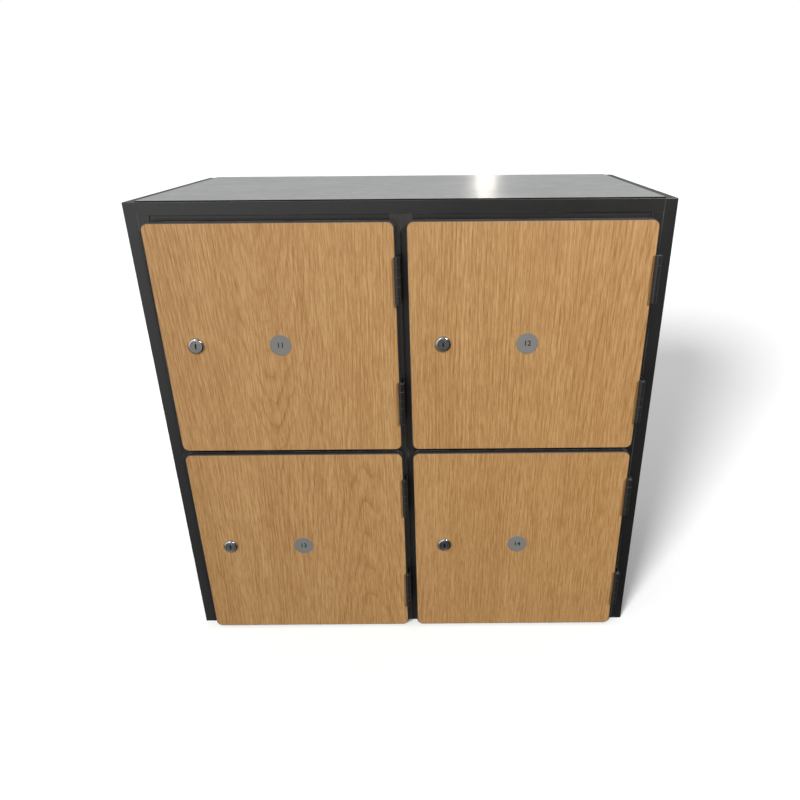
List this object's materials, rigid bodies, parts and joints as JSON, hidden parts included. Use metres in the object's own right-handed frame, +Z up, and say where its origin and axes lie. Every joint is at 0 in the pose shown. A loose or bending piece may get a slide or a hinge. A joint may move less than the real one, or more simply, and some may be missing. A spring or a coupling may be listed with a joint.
{
  "type": "coin operated locker",
  "caption": "Freestanding bank of coin operated lockers in a two by two grid, with oak laminate doors on front butt hinges, a black steel frame and coin return locks.",
  "frame": {"origin": "middle of the footprint's bounding box, on the floor", "axes": "+Z up, +X to the right as seen from the front, doors towards -Y"},
  "size_m": [0.84, 0.4275, 0.8215],
  "materials": {
    "end_panel": "black melamine-faced board, matt",
    "frame_black": "black powder coat, satin",
    "galvanised": "galvanised sheet steel",
    "oak_laminate": "oak-pattern compact laminate with a black core, matt",
    "hinge_black": "black painted steel",
    "pin_steel": "bright zinc-plated steel",
    "screw_steel": "zinc-plated steel",
    "buffer_rubber": "soft black rubber",
    "disc_grey": "grey engraved plastic",
    "lock_chrome": "polished chrome plate",
    "case_plastic": "black moulded nylon"
  },
  "bodies": {
    "carcass": {"side_panel_left": "end_panel", "side_panel_right": "end_panel", "top_panel": "galvanised", "top_rail": "frame_black", "roof_panel": "galvanised", "back_panel": "galvanised", "wall_outer_left": "galvanised", "wall_inner_left": "galvanised", "wall_inner_right": "galvanised", "wall_outer_right": "galvanised", "post_outer_left": "frame_black", "post_inner_left": "frame_black", "post_inner_right": "frame_black", "post_outer_right": "frame_black", "header_left": "frame_black", "header_right": "frame_black", "cross_rail_left": "frame_black", "cross_rail_right": "frame_black", "sill_left": "frame_black", "sill_right": "frame_black", "shelf_left": "galvanised", "shelf_right": "galvanised", "floor_left": "galvanised", "floor_right": "galvanised", "hinge_frame_leaves": "hinge_black", "hinge_pins": "pin_steel", "carcass_screws": "screw_steel", "door_buffers": "buffer_rubber"},
    "door_unit_11": {"door_11": "oak_laminate", "hinge_leaves_11": "hinge_black", "number_disc_11": "disc_grey", "lock_barrel_11": "lock_chrome", "coin_case_11": "case_plastic", "fixings_11": "screw_steel"},
    "key_unit_11": {"lock_plug_11": "lock_chrome", "lock_cam_11": "pin_steel"},
    "door_unit_12": {"door_12": "oak_laminate", "hinge_leaves_12": "hinge_black", "number_disc_12": "disc_grey", "lock_barrel_12": "lock_chrome", "coin_case_12": "case_plastic", "fixings_12": "screw_steel"},
    "key_unit_12": {"lock_plug_12": "lock_chrome", "lock_cam_12": "pin_steel"},
    "door_unit_13": {"door_13": "oak_laminate", "hinge_leaves_13": "hinge_black", "number_disc_13": "disc_grey", "lock_barrel_13": "lock_chrome", "coin_case_13": "case_plastic", "fixings_13": "screw_steel"},
    "key_unit_13": {"lock_plug_13": "lock_chrome", "lock_cam_13": "pin_steel"},
    "door_unit_14": {"door_14": "oak_laminate", "hinge_leaves_14": "hinge_black", "number_disc_14": "disc_grey", "lock_barrel_14": "lock_chrome", "coin_case_14": "case_plastic", "fixings_14": "screw_steel"},
    "key_unit_14": {"lock_plug_14": "lock_chrome", "lock_cam_14": "pin_steel"}
  },
  "joints": [
    {"name": "door_11_swing", "type": "hinge", "parent": "carcass", "child": "door_unit_11", "pos_m": [-0.0065, -0.20875, 0.597], "axis": [0, 0, 1], "range_deg": [0, 105]},
    {"name": "key_11_turn", "type": "hinge", "parent": "door_unit_11", "child": "key_unit_11", "pos_m": [-0.33625, -0.20925, 0.597], "axis": [0, -1, 0], "range_deg": [0, 90]},
    {"name": "door_12_swing", "type": "hinge", "parent": "carcass", "child": "door_unit_12", "pos_m": [0.3935, -0.20875, 0.597], "axis": [0, 0, 1], "range_deg": [0, 105]},
    {"name": "key_12_turn", "type": "hinge", "parent": "door_unit_12", "child": "key_unit_12", "pos_m": [0.06375, -0.20925, 0.597], "axis": [0, -1, 0], "range_deg": [0, 90]},
    {"name": "door_13_swing", "type": "hinge", "parent": "carcass", "child": "door_unit_13", "pos_m": [-0.0065, -0.20875, 0.1995], "axis": [0, 0, 1], "range_deg": [0, 105]},
    {"name": "key_13_turn", "type": "hinge", "parent": "door_unit_13", "child": "key_unit_13", "pos_m": [-0.33625, -0.20925, 0.1995], "axis": [0, -1, 0], "range_deg": [0, 90]},
    {"name": "door_14_swing", "type": "hinge", "parent": "carcass", "child": "door_unit_14", "pos_m": [0.3935, -0.20875, 0.1995], "axis": [0, 0, 1], "range_deg": [0, 105]},
    {"name": "key_14_turn", "type": "hinge", "parent": "door_unit_14", "child": "key_unit_14", "pos_m": [0.06375, -0.20925, 0.1995], "axis": [0, -1, 0], "range_deg": [0, 90]}
  ]
}
